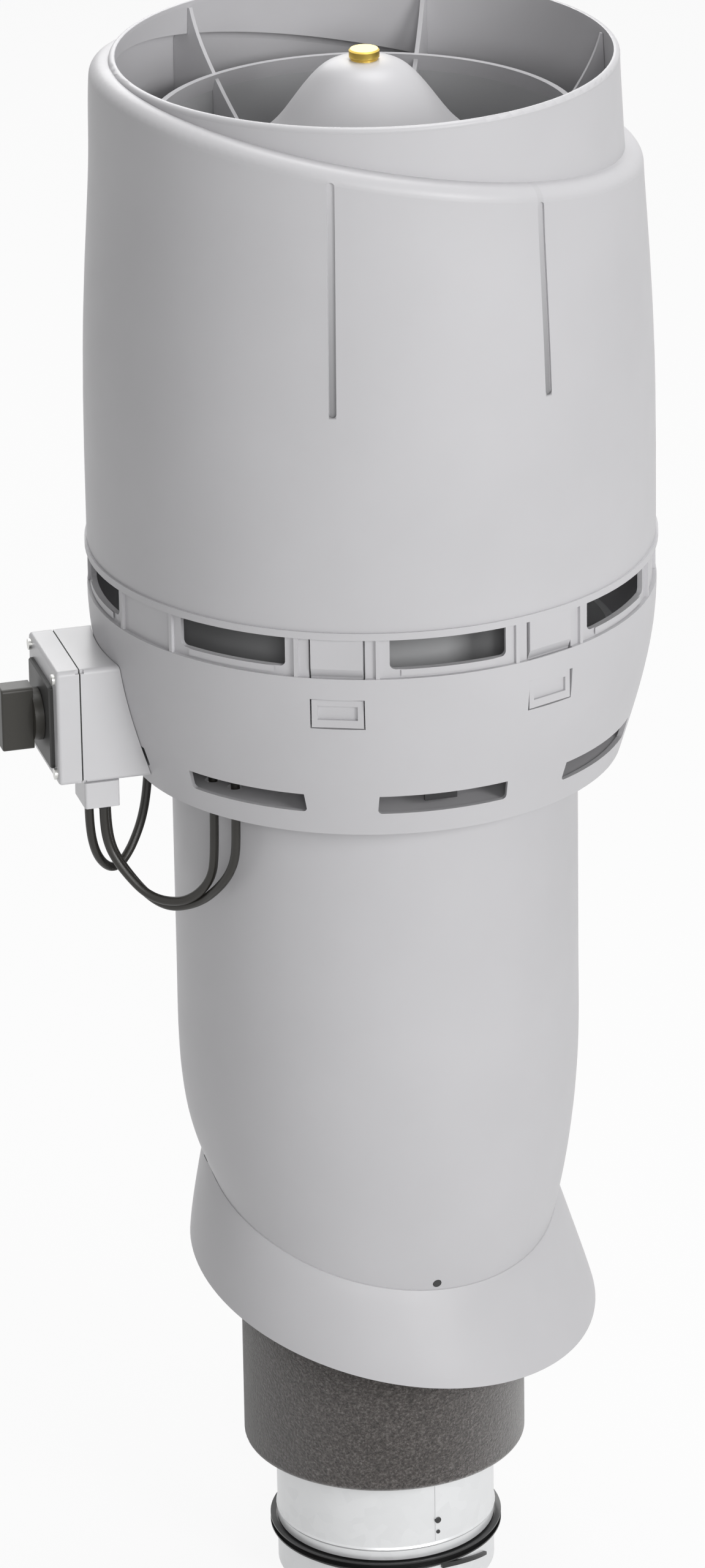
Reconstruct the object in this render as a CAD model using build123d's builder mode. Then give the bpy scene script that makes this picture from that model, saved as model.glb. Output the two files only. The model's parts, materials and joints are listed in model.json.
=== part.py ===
# Roof exhaust fan: insulated duct, outer pipe with a roof skirt, bowl, hood and motor, and a safety switch.
# Millimetres. The origin is the centre of the duct's lower end, +Z is up and the front faces -Y.

import os
from math import cos, pi, radians, sin, tan

from build123d import *

os.makedirs("parts", exist_ok=True)

# Clearances
fit_gap = 0.3  # between neighbouring fixed pieces
bearing_gap = 0.04  # radial, shaft in its bearings
knob_gap = 0.05  # radial, knob shaft in its plate

# Duct, seal and insulation
duct_radius = 62.5
duct_wall = 0.8
duct_top = 560
groove_bottom = 19.5
groove_height = 8
groove_depth = 1.6
groove_slope = 0.8
bead_height = 33
bead_width = 2.4
bead_rise = 0.7
seam_azimuth = -62
seam_width = 3.2
seam_rise = 0.6
seal_reach = 4.1
seal_lip = 0.9
foam_radius = 80.5
foam_bottom = 80.7
foam_edge = 3

# Outer pipe and roof skirt
pipe_radius = 112.5
pipe_wall = 3
pipe_step = 0.3  # the straight part's wall is thicker by this than the taper's
pipe_top = 567
taper_top = 339.6
taper_radius = 101  # at the pipe's lower edge
skirt_top = 250  # heights and slopes of the two slanted circles that end the skirt
skirt_top_radius = 101.6
skirt_top_pitch = 21.5
skirt_top_azimuth = -52.5
skirt_top_centre = (0.4, -2.7)
skirt_edge = 186.9
skirt_edge_radius = 117.9
roof_pitch = 15.3
roof_azimuth = -36.2
skirt_edge_centre = (6.4, 0.1)
skirt_wall = 3
spigot_height = 24
skirt_screw_rise = 4.9
skirt_screw_sink = 0.9
skirt_screw_azimuth = -72
skirt_screw_radius = 1.5
skirt_screw_head = 2.4
skirt_screw_count = 4

# Bowl
hem = 630  # lower edge of the hood
bowl_wall = 2.9
bowl_radius = 156
bowl_shoulder = 607.5
bowl_edge_radius = 136.5
bowl_bottom = 510
band_radius = 153.6
lip_radius = 152.4
lip_height = 12
floor_z = 520.5
floor_thickness = 2.5
collar_height = 17
sector = 45
tab_azimuth = -97.2
latch_tabs = (0, 1, 4, 5)  # counted anticlockwise from tab_azimuth
opening_width = 64
opening_bottom = 612.3
opening_corner = 3
frame_width = 3.6
frame_rise = 0.8
rib_angle = 8.1
rib_width = 2.2
slot_width = 71.5
slot_bottom = 523.8
slot_height = 11.4
slot_corner = 2.5
window_width = 29.5
window_height = 17.5
window_bottom = 578

# Hood
hood_wall = 3
hem_radius = 156.8
hood_radius = 155.6
hood_slant = 11
hood_slant_azimuth = 14.7
shoulder_z = 877.8
shoulder_round = 8.5
throat_radius = 136.2  # outside of the outlet tube at its rim
throat_draft = 3
throat_wall = 3.2
rim_z = 904
rim_round = 2.4
groove_width = 4.2
groove_cut = 1.3
groove_foot = 754
leg_width = 28
leg_wall = 2.2

# Fan
deck_radius = 136
deck_thickness = 3
sheet = 1.5
nozzle_throat = 56.5
nozzle_rise = 20
nozzle_flange = 86
housing_radius = 118
housing_wall = 3
housing_top = 859.9
housing_flange = 12
ledge_z = 658
ledge_height = 6
ledge_width = 4.5
impeller_radius = 95
impeller_eye = 59
impeller_bottom = 585
impeller_top = 641
blade_count = 7
rotor_radius = 48
rotor_wall = 3
rotor_bottom = 601
rotor_top = 655
rotor_flange = 58
shaft_radius = 4
stator_radius = 42
bearing_radius = 11
bearing_height = 8
motor_flange_z = 658
motor_flange_radius = 60
arm_width = 10
vane_azimuth = 15.5
vane_count = 6
vane_thickness = 2.4
cowl_radius = 62
cowl_wall = 2
cowl_top = 901.5
cowl_flat = 9
stud_radius = 3
washer_radius = 7.4
washer_thickness = 0.8
cap_radius = 8.25
cap_height = 5

# Switch box, in its own plane: across, up and outward
box_azimuth = -164.7
box_z = 550.2
box_width = 66
box_height = 66.4
box_wall = 2.5
box_seam = 173
box_back = 155
gasket = 0.8
cover_depth = 12.7
box_round = 3
notch = 4
plate_size = 48
plate_z = 548
plate_thickness = 2.5
hub_radius = 14.5
hub_height = 5
handle_length = 36
handle_width = 14
handle_height = 17.2
knob_shaft_radius = 4
block_side = 30
block_depth = 17
gland_low = 502
gland_front = 33
gland_width = 25
gland_inner = 153
gland_outer = 172.5

# Cables
cable_radius = 2.5
grommet_radius = 3.6
box_grommet = 4
deck_grommet = 6
cable_hole = 4.2


def polar(radius, azimuth, z=0.0):
    """A point given by its distance from the axis and its azimuth in degrees."""
    return (radius * cos(radians(azimuth)), radius * sin(radians(azimuth)), z)


def radial_plane(azimuth, z=0.0):
    """Sketch plane that faces outward at an azimuth: X runs anticlockwise, Y runs up."""
    return Plane(origin=(0, 0, z), x_dir=polar(1, azimuth + 90), z_dir=polar(1, azimuth))


def half_plane(azimuth=0.0):
    """Sketch plane through the axis: X is the distance from the axis, Y is the height."""
    return Plane(origin=(0, 0, 0), x_dir=polar(1, azimuth), z_dir=polar(1, azimuth - 90))


def slanted_plane(z, slope, azimuth, centre=(0.0, 0.0)):
    """Plane that falls towards an azimuth, over a centre in plan. Its X looks towards the roof's fall."""
    normal = Vector(*polar(sin(radians(slope)), azimuth, cos(radians(slope))))
    fall = Vector(*polar(1, roof_azimuth))
    return Plane(origin=(*centre, z), x_dir=fall - normal * normal.dot(fall), z_dir=normal)


def ring(radius_out, radius_in, bottom, top):
    """A plain ring round the Z axis."""
    with BuildPart() as body:
        with BuildSketch(Plane.XY.offset(bottom)):
            Circle(radius_out)
            if radius_in:
                Circle(radius_in, mode=Mode.SUBTRACT)
        extrude(amount=top - bottom)
    return body.part


def revolved(points):
    """A solid of revolution from a closed outline of (radius, height) points."""
    with BuildPart() as body:
        with BuildSketch(half_plane()):
            with BuildLine():
                Polyline(*points, close=True)
            make_face()
        revolve(axis=Axis.Z)
    return body.part


def screws(places, head_radius, head_height, shank_radius, shank_length):
    """Round-headed screws: each place is a plane on the clamped face, its normal out of the head."""
    with BuildPart() as body:
        for place in places:
            with BuildSketch(place):
                Circle(head_radius)
            extrude(amount=head_height)
            with BuildSketch(place):
                Circle(shank_radius)
            extrude(amount=-shank_length)
    return body.part


def save(part, name):
    """Label a finished piece and write it."""
    part.label = name
    export_step(part, f"parts/{name}.step")


# Duct: thin sheet with a seal groove and a bead
groove_top = groove_bottom + groove_height
bead_end = bead_height + bead_width
duct_outside = [
    (duct_radius, 0),
    (duct_radius, groove_bottom),
    (duct_radius - groove_depth, groove_bottom + groove_slope),
    (duct_radius - groove_depth, groove_top - groove_slope),
    (duct_radius, groove_top),
    (duct_radius, bead_height),
    (duct_radius + bead_rise, bead_height + bead_width / 2),
    (duct_radius, bead_end),
    (duct_radius, duct_top),
]
duct_inside = [(radius - duct_wall, z) for radius, z in reversed(duct_outside)]
with BuildPart() as inner_duct:
    add(revolved(duct_outside + duct_inside))
    seam_length = foam_bottom - bead_end - 2
    with BuildSketch(radial_plane(seam_azimuth, bead_end + 1 + seam_length / 2)):
        Rectangle(seam_width, seam_length)
    extrude(amount=duct_radius + seam_rise)
    with BuildSketch(Plane.XY):
        Circle(duct_radius - duct_wall / 2)
    extrude(amount=duct_top, mode=Mode.SUBTRACT)
    add(revolved(duct_outside + duct_inside))
save(inner_duct.part, "inner_duct")

# Seal: a base in the groove with two lips that point up, away from the duct's end
seal_inner = duct_radius - groove_depth + 0.1
seal_base = duct_radius + 0.8
seal_low = groove_bottom + groove_slope + 0.1
seal_high = groove_top - groove_slope - 0.1
lip_out = duct_radius + seal_reach
with BuildPart() as duct_seal:
    add(
        revolved(
            [
                (seal_inner, seal_low),
                (seal_base, seal_low),
                (lip_out, seal_low + 2.0),
                (lip_out, seal_low + 2.0 + seal_lip),
                (seal_base, seal_low + 2.4),
                (seal_base, seal_high - 2.2),
                (lip_out, seal_high - 0.2),
                (lip_out, seal_high - 0.2 + seal_lip),
                (seal_base, seal_high),
                (seal_inner, seal_high),
            ]
        )
    )
save(duct_seal.part, "duct_seal")

# Insulation: a foam tube round the duct, up to the underside of the deck
with BuildPart() as insulation_sleeve:
    add(ring(foam_radius, duct_radius + fit_gap, foam_bottom, duct_top))
    low_edge = insulation_sleeve.edges().filter_by(GeomType.CIRCLE).group_by(Axis.Z)[0]
    fillet(low_edge.sort_by(SortBy.RADIUS)[-1], foam_edge)
save(insulation_sleeve.part, "insulation_sleeve")

# Outer pipe: straight, then lofted through ever more slanted circles down to the skirt.
# Each section is a plane and a radius.
def taper_section(share):
    """A section of the pipe's taper, from 0 at its round top to 1 at its slanted lower edge."""
    height = taper_top - (taper_top - skirt_top) * share**0.71
    slope = skirt_top_pitch * share**2.28
    centre = (skirt_top_centre[0] * share, skirt_top_centre[1] * share)
    radius = pipe_radius - (pipe_radius - taper_radius) * share**1.41
    return slanted_plane(height, slope, skirt_top_azimuth, centre), radius


straight_height = taper_top + 45
pipe_sections = [(slanted_plane(straight_height, 0, 0), pipe_radius)]
pipe_sections += [taper_section(share) for share in (0, 0.33, 0.67, 1)]


def run_out(section, amount, growth=0.0):
    """An end section moved along its normal, so that a hollow runs out past the end of its form."""
    plane, radius = section
    return plane.offset(amount), radius + growth


pipe_hollow = [run_out(pipe_sections[0], 2), *pipe_sections[1:-1], run_out(pipe_sections[-1], -2, -0.6)]


def slanted_loft(sections, inset=0.0):
    """A solid lofted through slanted circles, each smaller by inset."""
    with BuildPart() as body:
        for plane, radius in sections:
            with BuildSketch(plane):
                Circle(radius - inset)
        loft()
    return body.part


def junction_plane(lift=0.0):
    """The slanted plane where pipe and skirt meet, lifted along Z."""
    return slanted_plane(skirt_top + lift, skirt_top_pitch, skirt_top_azimuth, skirt_top_centre)


def above_skirt(lift):
    """A large block that fills the space above the plane where pipe and skirt meet, lifted along Z."""
    with BuildPart() as body:
        with BuildSketch(junction_plane(lift)):
            Circle(2 * pipe_radius)
        extrude(amount=2 * pipe_radius)
    return body.part


pipe_form = slanted_loft(pipe_sections)


def skirt_screw_places():
    """Planes just under the pipe's surface where the skirt screws go in, square to that surface."""
    places = []
    for index in range(skirt_screw_count):
        azimuth = skirt_screw_azimuth + 360 / skirt_screw_count * index
        outward = polar(1, azimuth)
        foot = Vector(*polar(skirt_top_radius - skirt_wall, azimuth)) - Vector(*skirt_top_centre, 0)
        fall = foot.dot(Vector(*polar(tan(radians(skirt_top_pitch)), skirt_top_azimuth)))
        height = skirt_top + skirt_screw_rise - fall
        hits = pipe_form.find_intersection_points(Axis(origin=(0, 0, height), direction=outward))
        point, normal = max(hits, key=lambda hit: hit[0].dot(Vector(*outward)))
        seat = point - normal * skirt_screw_sink
        places.append(Plane(origin=seat, x_dir=polar(1, azimuth + 90), z_dir=normal))
    return places


with BuildPart() as outer_pipe:
    add(pipe_form)
    add(slanted_loft(pipe_hollow, pipe_wall), mode=Mode.SUBTRACT)
    add(ring(pipe_radius, pipe_radius - pipe_wall - pipe_step, straight_height, pipe_top))
    for place in skirt_screw_places():
        with BuildSketch(place):
            Circle(skirt_screw_radius + 0.1)
        extrude(amount=10, both=True, mode=Mode.SUBTRACT)
        with BuildSketch(place):
            Circle(skirt_screw_head + 0.1)
        extrude(amount=10, mode=Mode.SUBTRACT)
save(outer_pipe.part, "outer_pipe")

# Roof skirt: a flared wall from the pipe's edge down to the roof, with a spigot inside the pipe
skirt_shape = [(0, 0), (0.25, 0.3), (0.5, 0.56), (0.75, 0.8), (1, 1)]  # share of drop, share of flare


def between(start, end, share):
    """The value at a share of the way from start to end."""
    return start + (end - start) * share


def skirt_section(drop, flare, thickness=0.0):
    """A section of the skirt's outside, or of its inside where a wall thickness is given."""
    sink = thickness if drop == 0 else thickness * (1 - flare)
    height = between(skirt_top, skirt_edge, drop) - sink
    centre = [between(high, low, drop) for high, low in zip(skirt_top_centre, skirt_edge_centre)]
    slope = between(skirt_top_pitch, roof_pitch, drop)
    azimuth = between(skirt_top_azimuth, roof_azimuth, drop)
    radius = between(skirt_top_radius, skirt_edge_radius, flare) - thickness
    return slanted_plane(height, slope, azimuth, centre), radius


skirt_sections = [skirt_section(drop, flare) for drop, flare in skirt_shape]
skirt_hollow = [skirt_section(drop, flare, skirt_wall) for drop, flare in skirt_shape]
skirt_hollow[-1] = run_out(skirt_hollow[-1], -2, 0.5)
spigot_hollow = [run_out(pipe_hollow[0], 2), *pipe_sections[1:-1], run_out(pipe_hollow[-1], -2, -0.6)]
with BuildPart() as spigot:
    add(slanted_loft(pipe_hollow, pipe_wall + fit_gap))
    add(slanted_loft(spigot_hollow, pipe_wall + fit_gap + skirt_wall), mode=Mode.SUBTRACT)
    add(above_skirt(spigot_height), mode=Mode.SUBTRACT)
plate_hole = taper_radius - pipe_wall - fit_gap - skirt_wall / 2
with BuildPart() as roof_skirt:
    add(slanted_loft(skirt_sections))
    add(slanted_loft(skirt_hollow), mode=Mode.SUBTRACT)
    with BuildSketch(junction_plane()):
        Circle(plate_hole)
    extrude(amount=2 * skirt_wall, both=True, mode=Mode.SUBTRACT)
    add(spigot.part)
    add(ring(foam_radius + fit_gap, 0, foam_bottom, duct_top), mode=Mode.SUBTRACT)
    for place in skirt_screw_places():
        with BuildSketch(place):
            Circle(skirt_screw_radius + 0.1)
        extrude(amount=12, both=True, mode=Mode.SUBTRACT)
save(roof_skirt.part, "roof_skirt")

skirt_screws = screws(skirt_screw_places(), skirt_screw_head, 1.2, skirt_screw_radius, 8)
save(skirt_screws, "skirt_screws")

# Bowl: outline of the wall, as (radius, height), from the shoulder down to the lower edge
bowl_profile = [
    (bowl_radius, bowl_shoulder),
    (bowl_radius - 2.9, bowl_shoulder - 34),
    (bowl_radius - 8.8, bowl_shoulder - 61),
    (bowl_edge_radius, bowl_bottom),
]


def bowl_solid(grow):
    """The bowl's outer form filled to the axis, grown or shrunk along its radius."""
    with BuildPart() as body:
        with BuildSketch(half_plane()):
            with BuildLine():
                top = (bowl_radius + grow, bowl_shoulder)
                curve = Spline(
                    *[(radius + grow, z) for radius, z in bowl_profile],
                    tangents=((0, -1), (-0.3, -1)),
                )
                low = (bowl_edge_radius + grow, bowl_bottom)
                Polyline(low, (0, bowl_bottom), (0, hem), (top[0], hem), top)
            make_face()
        revolve(axis=Axis.Z)
    return body.part


def bowl_radius_at(z):
    """Outer radius of the bowl at a height, from the same points."""
    for (r_high, z_high), (r_low, z_low) in zip(bowl_profile, bowl_profile[1:]):
        if z_low <= z <= z_high:
            return r_low + (r_high - r_low) * (z - z_low) / (z_high - z_low)
    return bowl_radius


def tab_angles():
    """Azimuths of the eight tabs."""
    return [tab_azimuth + sector * index for index in range(8)]


def latch_angles():
    """Azimuths of the tabs that hold a snap leg of the hood."""
    return [tab_azimuth + sector * index for index in latch_tabs]


def opening_angles():
    """Azimuths of the openings, midway between the tabs."""
    return [angle + sector / 2 for angle in tab_angles()]


def box_plane(outward, z=box_z):
    """Plane of the switch box at a distance from the axis: X across to the front, Y up, normal outward."""
    across = polar(1, box_azimuth + 90)
    return Plane(origin=polar(outward, box_azimuth, z), x_dir=across, z_dir=polar(1, box_azimuth))


wall_screw_places = [(-14, 22), (14, 22)]
cable_ends = {
    "cable_a": (-123.5, -29.0),
    "cable_b": (-88.0, -87.4),
    "cable_c": (-75.8, -98.1),
}

with BuildPart() as frame_blocks:
    for angle in opening_angles():
        frame_height = hem - opening_bottom + frame_width
        with BuildSketch(radial_plane(angle, hem - frame_height / 2).offset(band_radius - bowl_wall / 2)):
            Rectangle(opening_width + 2 * frame_width, frame_height)
        extrude(amount=10)
with BuildPart() as opening_frames:
    add(ring(band_radius + frame_rise, band_radius - bowl_wall / 2, bowl_shoulder - 1, hem))
    add(frame_blocks.part, mode=Mode.INTERSECT)

with BuildPart() as lower_bowl:
    add(bowl_solid(0))
    add(bowl_solid(-bowl_wall), mode=Mode.SUBTRACT)
    add(ring(2 * bowl_radius, 0, bowl_shoulder, hem + 1), mode=Mode.SUBTRACT)
    add(ring(band_radius, band_radius - bowl_wall, bowl_shoulder, hem))
    add(ring(bowl_radius - 0.6, band_radius - bowl_wall, bowl_shoulder - 2, bowl_shoulder))
    add(ring(lip_radius, lip_radius - 2, hem - 1, hem + lip_height))
    add(opening_frames.part)
    floor_reach = bowl_radius_at(floor_z) - bowl_wall / 2
    add(ring(floor_reach, pipe_radius + fit_gap, floor_z, floor_z + floor_thickness))
    collar_radius = pipe_radius + fit_gap + bowl_wall
    add(ring(collar_radius, pipe_radius + fit_gap, floor_z, floor_z + collar_height))
    for angle in tab_angles():
        for side in (-rib_angle, rib_angle):
            with BuildSketch(radial_plane(angle + side, (bowl_shoulder + hem) / 2).offset(band_radius - 1)):
                Rectangle(rib_width, hem - bowl_shoulder)
            extrude(amount=bowl_radius - band_radius + 0.5)
    for angle in opening_angles():
        opening_height = hem + 2 - opening_bottom
        with BuildSketch(radial_plane(angle, opening_bottom + opening_height / 2)) as opening_face:
            Rectangle(opening_width, opening_height)
            fillet(opening_face.vertices().group_by(Axis.Y)[0], opening_corner)
        extrude(amount=2 * bowl_radius, mode=Mode.SUBTRACT)
        slot_plane = radial_plane(angle, slot_bottom + slot_height / 2)
        with BuildSketch(slot_plane.offset(pipe_radius + 10)) as slot_face:
            Rectangle(slot_width, slot_height)
            fillet(slot_face.vertices().group_by(Axis.Y)[0], slot_corner)
        extrude(amount=bowl_radius, mode=Mode.SUBTRACT)
    for angle in latch_angles():
        gate_height = hem + lip_height + 1 - bowl_shoulder
        with BuildSketch(radial_plane(angle, bowl_shoulder + gate_height / 2)):
            Rectangle(leg_width + 2, gate_height)
        extrude(amount=2 * bowl_radius, mode=Mode.SUBTRACT)
        with BuildSketch(radial_plane(angle, bowl_shoulder)):
            Rectangle(leg_width + 2, 5)
        extrude(amount=bowl_radius - 1.2, mode=Mode.SUBTRACT)
        with BuildSketch(radial_plane(angle, window_bottom + window_height / 2)):
            Rectangle(window_width, window_height)
        extrude(amount=2 * bowl_radius, mode=Mode.SUBTRACT)
    for x, y in cable_ends.values():
        with BuildSketch(Plane.XY.offset(floor_z - 1)):
            with Locations((x, y)):
                Circle(cable_hole)
        extrude(amount=floor_thickness + 2, mode=Mode.SUBTRACT)
    with BuildSketch(box_plane(bowl_radius)):
        with Locations(*wall_screw_places):
            Circle(1.7)
    extrude(amount=-20, mode=Mode.SUBTRACT)
save(lower_bowl.part, "lower_bowl")

# Hood: the outer form is cut by a slanted plane, rounded, hollowed, and opened by the outlet tube
hood_profile = [
    (hood_radius, hem + 9),
    (hood_radius - 0.1, hem + 60),
    (hood_radius - 1.5, hem + 125),
    (hood_radius - 4.6, hem + 180),
    (hood_radius - 7.2, hem + 225),
    (hood_radius - 10.6, hem + 285),
]
slant = slanted_plane(shoulder_z, hood_slant, hood_slant_azimuth)


def hood_form(inset, bottom):
    """The hood's outer form, filled to the axis and made smaller by inset, under its slanted top."""
    with BuildPart() as body:
        with BuildSketch(half_plane()):
            with BuildLine():
                start = (hood_radius - inset, bottom)
                curve = Spline(
                    *[(radius - inset, z) for radius, z in hood_profile],
                    tangents=((0, 1), (-0.18, 1)),
                )
                end_radius, end = hood_profile[-1]
                Polyline((end_radius - inset, end), (0, end), (0, bottom), start, (start[0], hem + 9))
            make_face()
        revolve(axis=Axis.Z)
        split(bisect_by=slant.offset(-inset), keep=Keep.BOTTOM)
        top_face = body.faces().sort_by(Axis.Z)[-1]
        fillet(top_face.edges(), shoulder_round - 0.7 * inset)
    return body.part


def throat_form(inset):
    """The outlet tube's outside, filled to the axis and made smaller by inset."""
    low = shoulder_z - 60
    spread = tan(radians(throat_draft)) * (rim_z - low)
    return revolved(
        [
            (0, low),
            (throat_radius + spread - inset, low),
            (throat_radius - inset, rim_z),
            (0, rim_z),
        ]
    )


def hood_space(gap):
    """The hollow inside the hood and its outlet tube, smaller by gap all round."""
    with BuildPart() as body:
        add(hood_form(hood_wall + gap, hem - 1))
        add(throat_form(throat_wall + gap))
        with BuildSketch(Plane.XY.offset(rim_z - 0.5)):
            Circle(throat_radius - throat_wall - gap)
        extrude(amount=rim_round * 3)
    return body.part


def leg_profile():
    """Outline of a snap leg beside the bowl's wall, as (radius, height)."""
    foot = window_bottom - 4
    inside = bowl_wall + fit_gap + 0.7
    return [
        (band_radius + frame_rise, hem + 8),
        (band_radius + frame_rise, bowl_shoulder + 5),
        (bowl_radius - inside, bowl_shoulder),
        (bowl_radius_at(window_bottom + window_height) - inside, window_bottom + window_height),
        (bowl_radius_at(foot) - inside, foot),
        (bowl_radius_at(foot) - inside - leg_wall, foot),
        (bowl_radius_at(window_bottom + window_height) - inside - leg_wall, window_bottom + window_height),
        (bowl_radius - inside - leg_wall, bowl_shoulder),
        (band_radius - leg_wall, bowl_shoulder + 6),
        (band_radius - leg_wall, hem + 8),
    ]


def snap_leg(angle):
    """A snap leg: it hangs from the hem and shows its nib in the latch window."""
    with BuildPart() as body:
        with BuildSketch(half_plane(angle)):
            with BuildLine():
                Polyline(*leg_profile(), close=True)
            make_face()
        extrude(amount=leg_width / 2, both=True)
        nib_z = window_bottom + window_height / 2
        nib_face = bowl_radius_at(nib_z) - 0.7
        with BuildSketch(radial_plane(angle, nib_z).offset(nib_face)):
            Rectangle(window_width - 1.6, window_height - 1.6)
        extrude(amount=-5)
        with BuildSketch(radial_plane(angle, nib_z + 0.4).offset(nib_face)):
            Rectangle(window_width - 8, window_height - 9.6)
        extrude(amount=-1.6, mode=Mode.SUBTRACT)
    return body.part


def groove_tools():
    """Slots that leave a shallow groove in the hood above each snap leg."""
    with BuildPart() as body:
        for angle in latch_angles():
            reach = (hood_radius - 8) * cos(radians(angle - hood_slant_azimuth))
            rise = -tan(radians(hood_slant)) * reach
            top = shoulder_z + rise - shoulder_round + 0.8
            length = top - groove_foot
            with BuildSketch(radial_plane(angle, groove_foot + length / 2).offset(hood_radius - 20)):
                SlotOverall(length, groove_width, rotation=90)
            extrude(amount=40)
        add(hood_form(groove_cut, hem), mode=Mode.SUBTRACT)
    return body.part


with BuildPart() as hood:
    add(hood_form(0, hem))
    add(ring(hem_radius, hood_radius - 1, hem, hem + 4))
    add(throat_form(0))
    with BuildSketch(half_plane()):
        with Locations((throat_radius - rim_round + 0.2, rim_z)):
            Circle(rim_round)
    revolve(axis=Axis.Z)
    add(groove_tools(), mode=Mode.SUBTRACT)
    add(hood_space(0), mode=Mode.SUBTRACT)
    add(ring(lip_radius + fit_gap + 0.6, 0, hem - 1, hem + lip_height + 1), mode=Mode.SUBTRACT)
    for angle in latch_angles():
        add(snap_leg(angle))
save(hood.part, "hood")

# Deck: steel plate on the pipe's top, which carries the housing, the nozzle and the bowl's brackets
deck_top = pipe_top + deck_thickness
flange_screw_radius = housing_radius + housing_flange / 2
nozzle_screw_radius = (nozzle_flange + duct_radius) / 2
deck_screw_angles = [22.5 + 90 * index for index in range(4)]
with BuildPart() as fan_deck:
    add(ring(deck_radius, duct_radius, pipe_top, deck_top))
    for angle in deck_screw_angles:
        for radius in (flange_screw_radius, nozzle_screw_radius):
            with BuildSketch(Plane.XY.offset(pipe_top)):
                with Locations(polar(radius, angle)[:2]):
                    Circle(1.6)
            extrude(amount=deck_thickness, mode=Mode.SUBTRACT)
save(fan_deck.part, "fan_deck")

# Brackets that hang from the deck and hold the bowl's wall; their tips show in the lower slots
bracket_radius = 134
bracket_width = 18
bracket_foot = slot_bottom + slot_height + 1.5
with BuildPart() as bowl_brackets:
    for index in range(3):
        angle = -74.7 + 120 * index
        wall_reach = bowl_radius_at(bracket_foot) - bowl_wall - fit_gap
        with BuildSketch(half_plane(angle)):
            with BuildLine():
                Polyline(
                    (bracket_radius - 14, pipe_top),
                    (bracket_radius, pipe_top),
                    (bracket_radius, bracket_foot + 2),
                    (wall_reach - 1.2, bracket_foot + 2),
                    (wall_reach - 1.2, bracket_foot),
                    (bracket_radius, bracket_foot),
                    (bracket_radius, slot_bottom + 3.5),
                    (bracket_radius - 2, slot_bottom + 3.5),
                    (bracket_radius - 2, pipe_top - 2),
                    (bracket_radius - 14, pipe_top - 2),
                    close=True,
                )
            make_face()
        extrude(amount=bracket_width / 2, both=True)
save(bowl_brackets.part, "bowl_brackets")

# Inlet nozzle: a spigot in the duct, a flange on the deck and a lip that narrows to the impeller's eye
spigot_out = duct_radius - duct_wall - fit_gap
nozzle_points = [
    (spigot_out, duct_top - 15),
    (spigot_out, deck_top),
    (nozzle_flange, deck_top),
    (nozzle_flange, deck_top + sheet),
    (spigot_out, deck_top + sheet),
    (nozzle_throat, deck_top + nozzle_rise),
    (nozzle_throat - sheet, deck_top + nozzle_rise),
    (spigot_out - sheet, deck_top),
    (spigot_out - sheet, duct_top - 15),
]
with BuildPart() as inlet_nozzle:
    add(revolved(nozzle_points))
    for angle in deck_screw_angles:
        with BuildSketch(Plane.XY.offset(deck_top)):
            with Locations(polar(nozzle_screw_radius, angle)[:2]):
                Circle(1.6)
        extrude(amount=sheet, mode=Mode.SUBTRACT)
save(inlet_nozzle.part, "inlet_nozzle")


def upright(radius, angle, z):
    """A level plane above a point, for a vertical screw."""
    return Plane.XY.offset(z).shift_origin(Vector(*polar(radius, angle, z)))


nozzle_screws = screws(
    [upright(nozzle_screw_radius, angle, deck_top + sheet) for angle in deck_screw_angles], 3, 1.8, 1.5, 6
)
save(nozzle_screws, "nozzle_screws")

# Fan housing: a dark cylinder with a base flange and a ledge for the motor bracket
housing_bore = housing_radius - housing_wall
flange_top = deck_top + 2.5
ledge_screw_radius = housing_bore - ledge_width / 2
bracket_angles = [vane_azimuth + 30 + 60 * index for index in range(6)]
with BuildPart() as fan_housing:
    add(ring(housing_radius, housing_bore, deck_top, housing_top))
    add(ring(housing_radius + housing_flange, housing_bore, deck_top, flange_top))
    add(ring(housing_bore + 1, housing_bore - ledge_width, ledge_z, ledge_z + ledge_height))
    for angle in deck_screw_angles:
        with BuildSketch(Plane.XY.offset(deck_top)):
            with Locations(polar(flange_screw_radius, angle)[:2]):
                Circle(1.6)
        extrude(amount=flange_top - deck_top, mode=Mode.SUBTRACT)
    for angle in bracket_angles:
        with BuildSketch(Plane.XY.offset(ledge_z)):
            with Locations(polar(ledge_screw_radius, angle)[:2]):
                Circle(1.3)
        extrude(amount=ledge_height, mode=Mode.SUBTRACT)
save(fan_housing.part, "fan_housing")

housing_screws = screws(
    [upright(flange_screw_radius, angle, flange_top) for angle in deck_screw_angles], 3, 1.8, 1.5, 7
)
save(housing_screws, "housing_screws")

# Impeller: shroud with the eye, backward-curved blades and a back plate on top
shroud_outside = [
    (impeller_eye, impeller_bottom),
    (impeller_eye + 2, impeller_bottom),
    (impeller_eye + 3, impeller_bottom + 7),
    (impeller_eye + 14, impeller_bottom + 15),
    (impeller_radius, impeller_bottom + 19),
    (impeller_radius, impeller_bottom + 21),
    (impeller_eye + 13, impeller_bottom + 17),
    (impeller_eye + 1, impeller_bottom + 8),
]
under_shroud = [
    (0, impeller_bottom - 5),
    (impeller_radius + 5, impeller_bottom - 5),
    (impeller_radius + 5, impeller_bottom + 20),
    (impeller_radius, impeller_bottom + 20),
    (impeller_eye + 13, impeller_bottom + 16),
    (impeller_eye + 1.5, impeller_bottom + 8),
    (0, impeller_bottom + 8),
]
blade_inner = impeller_eye + 2
blade_outer = impeller_radius - 0.5
blade_sweep = 42
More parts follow.
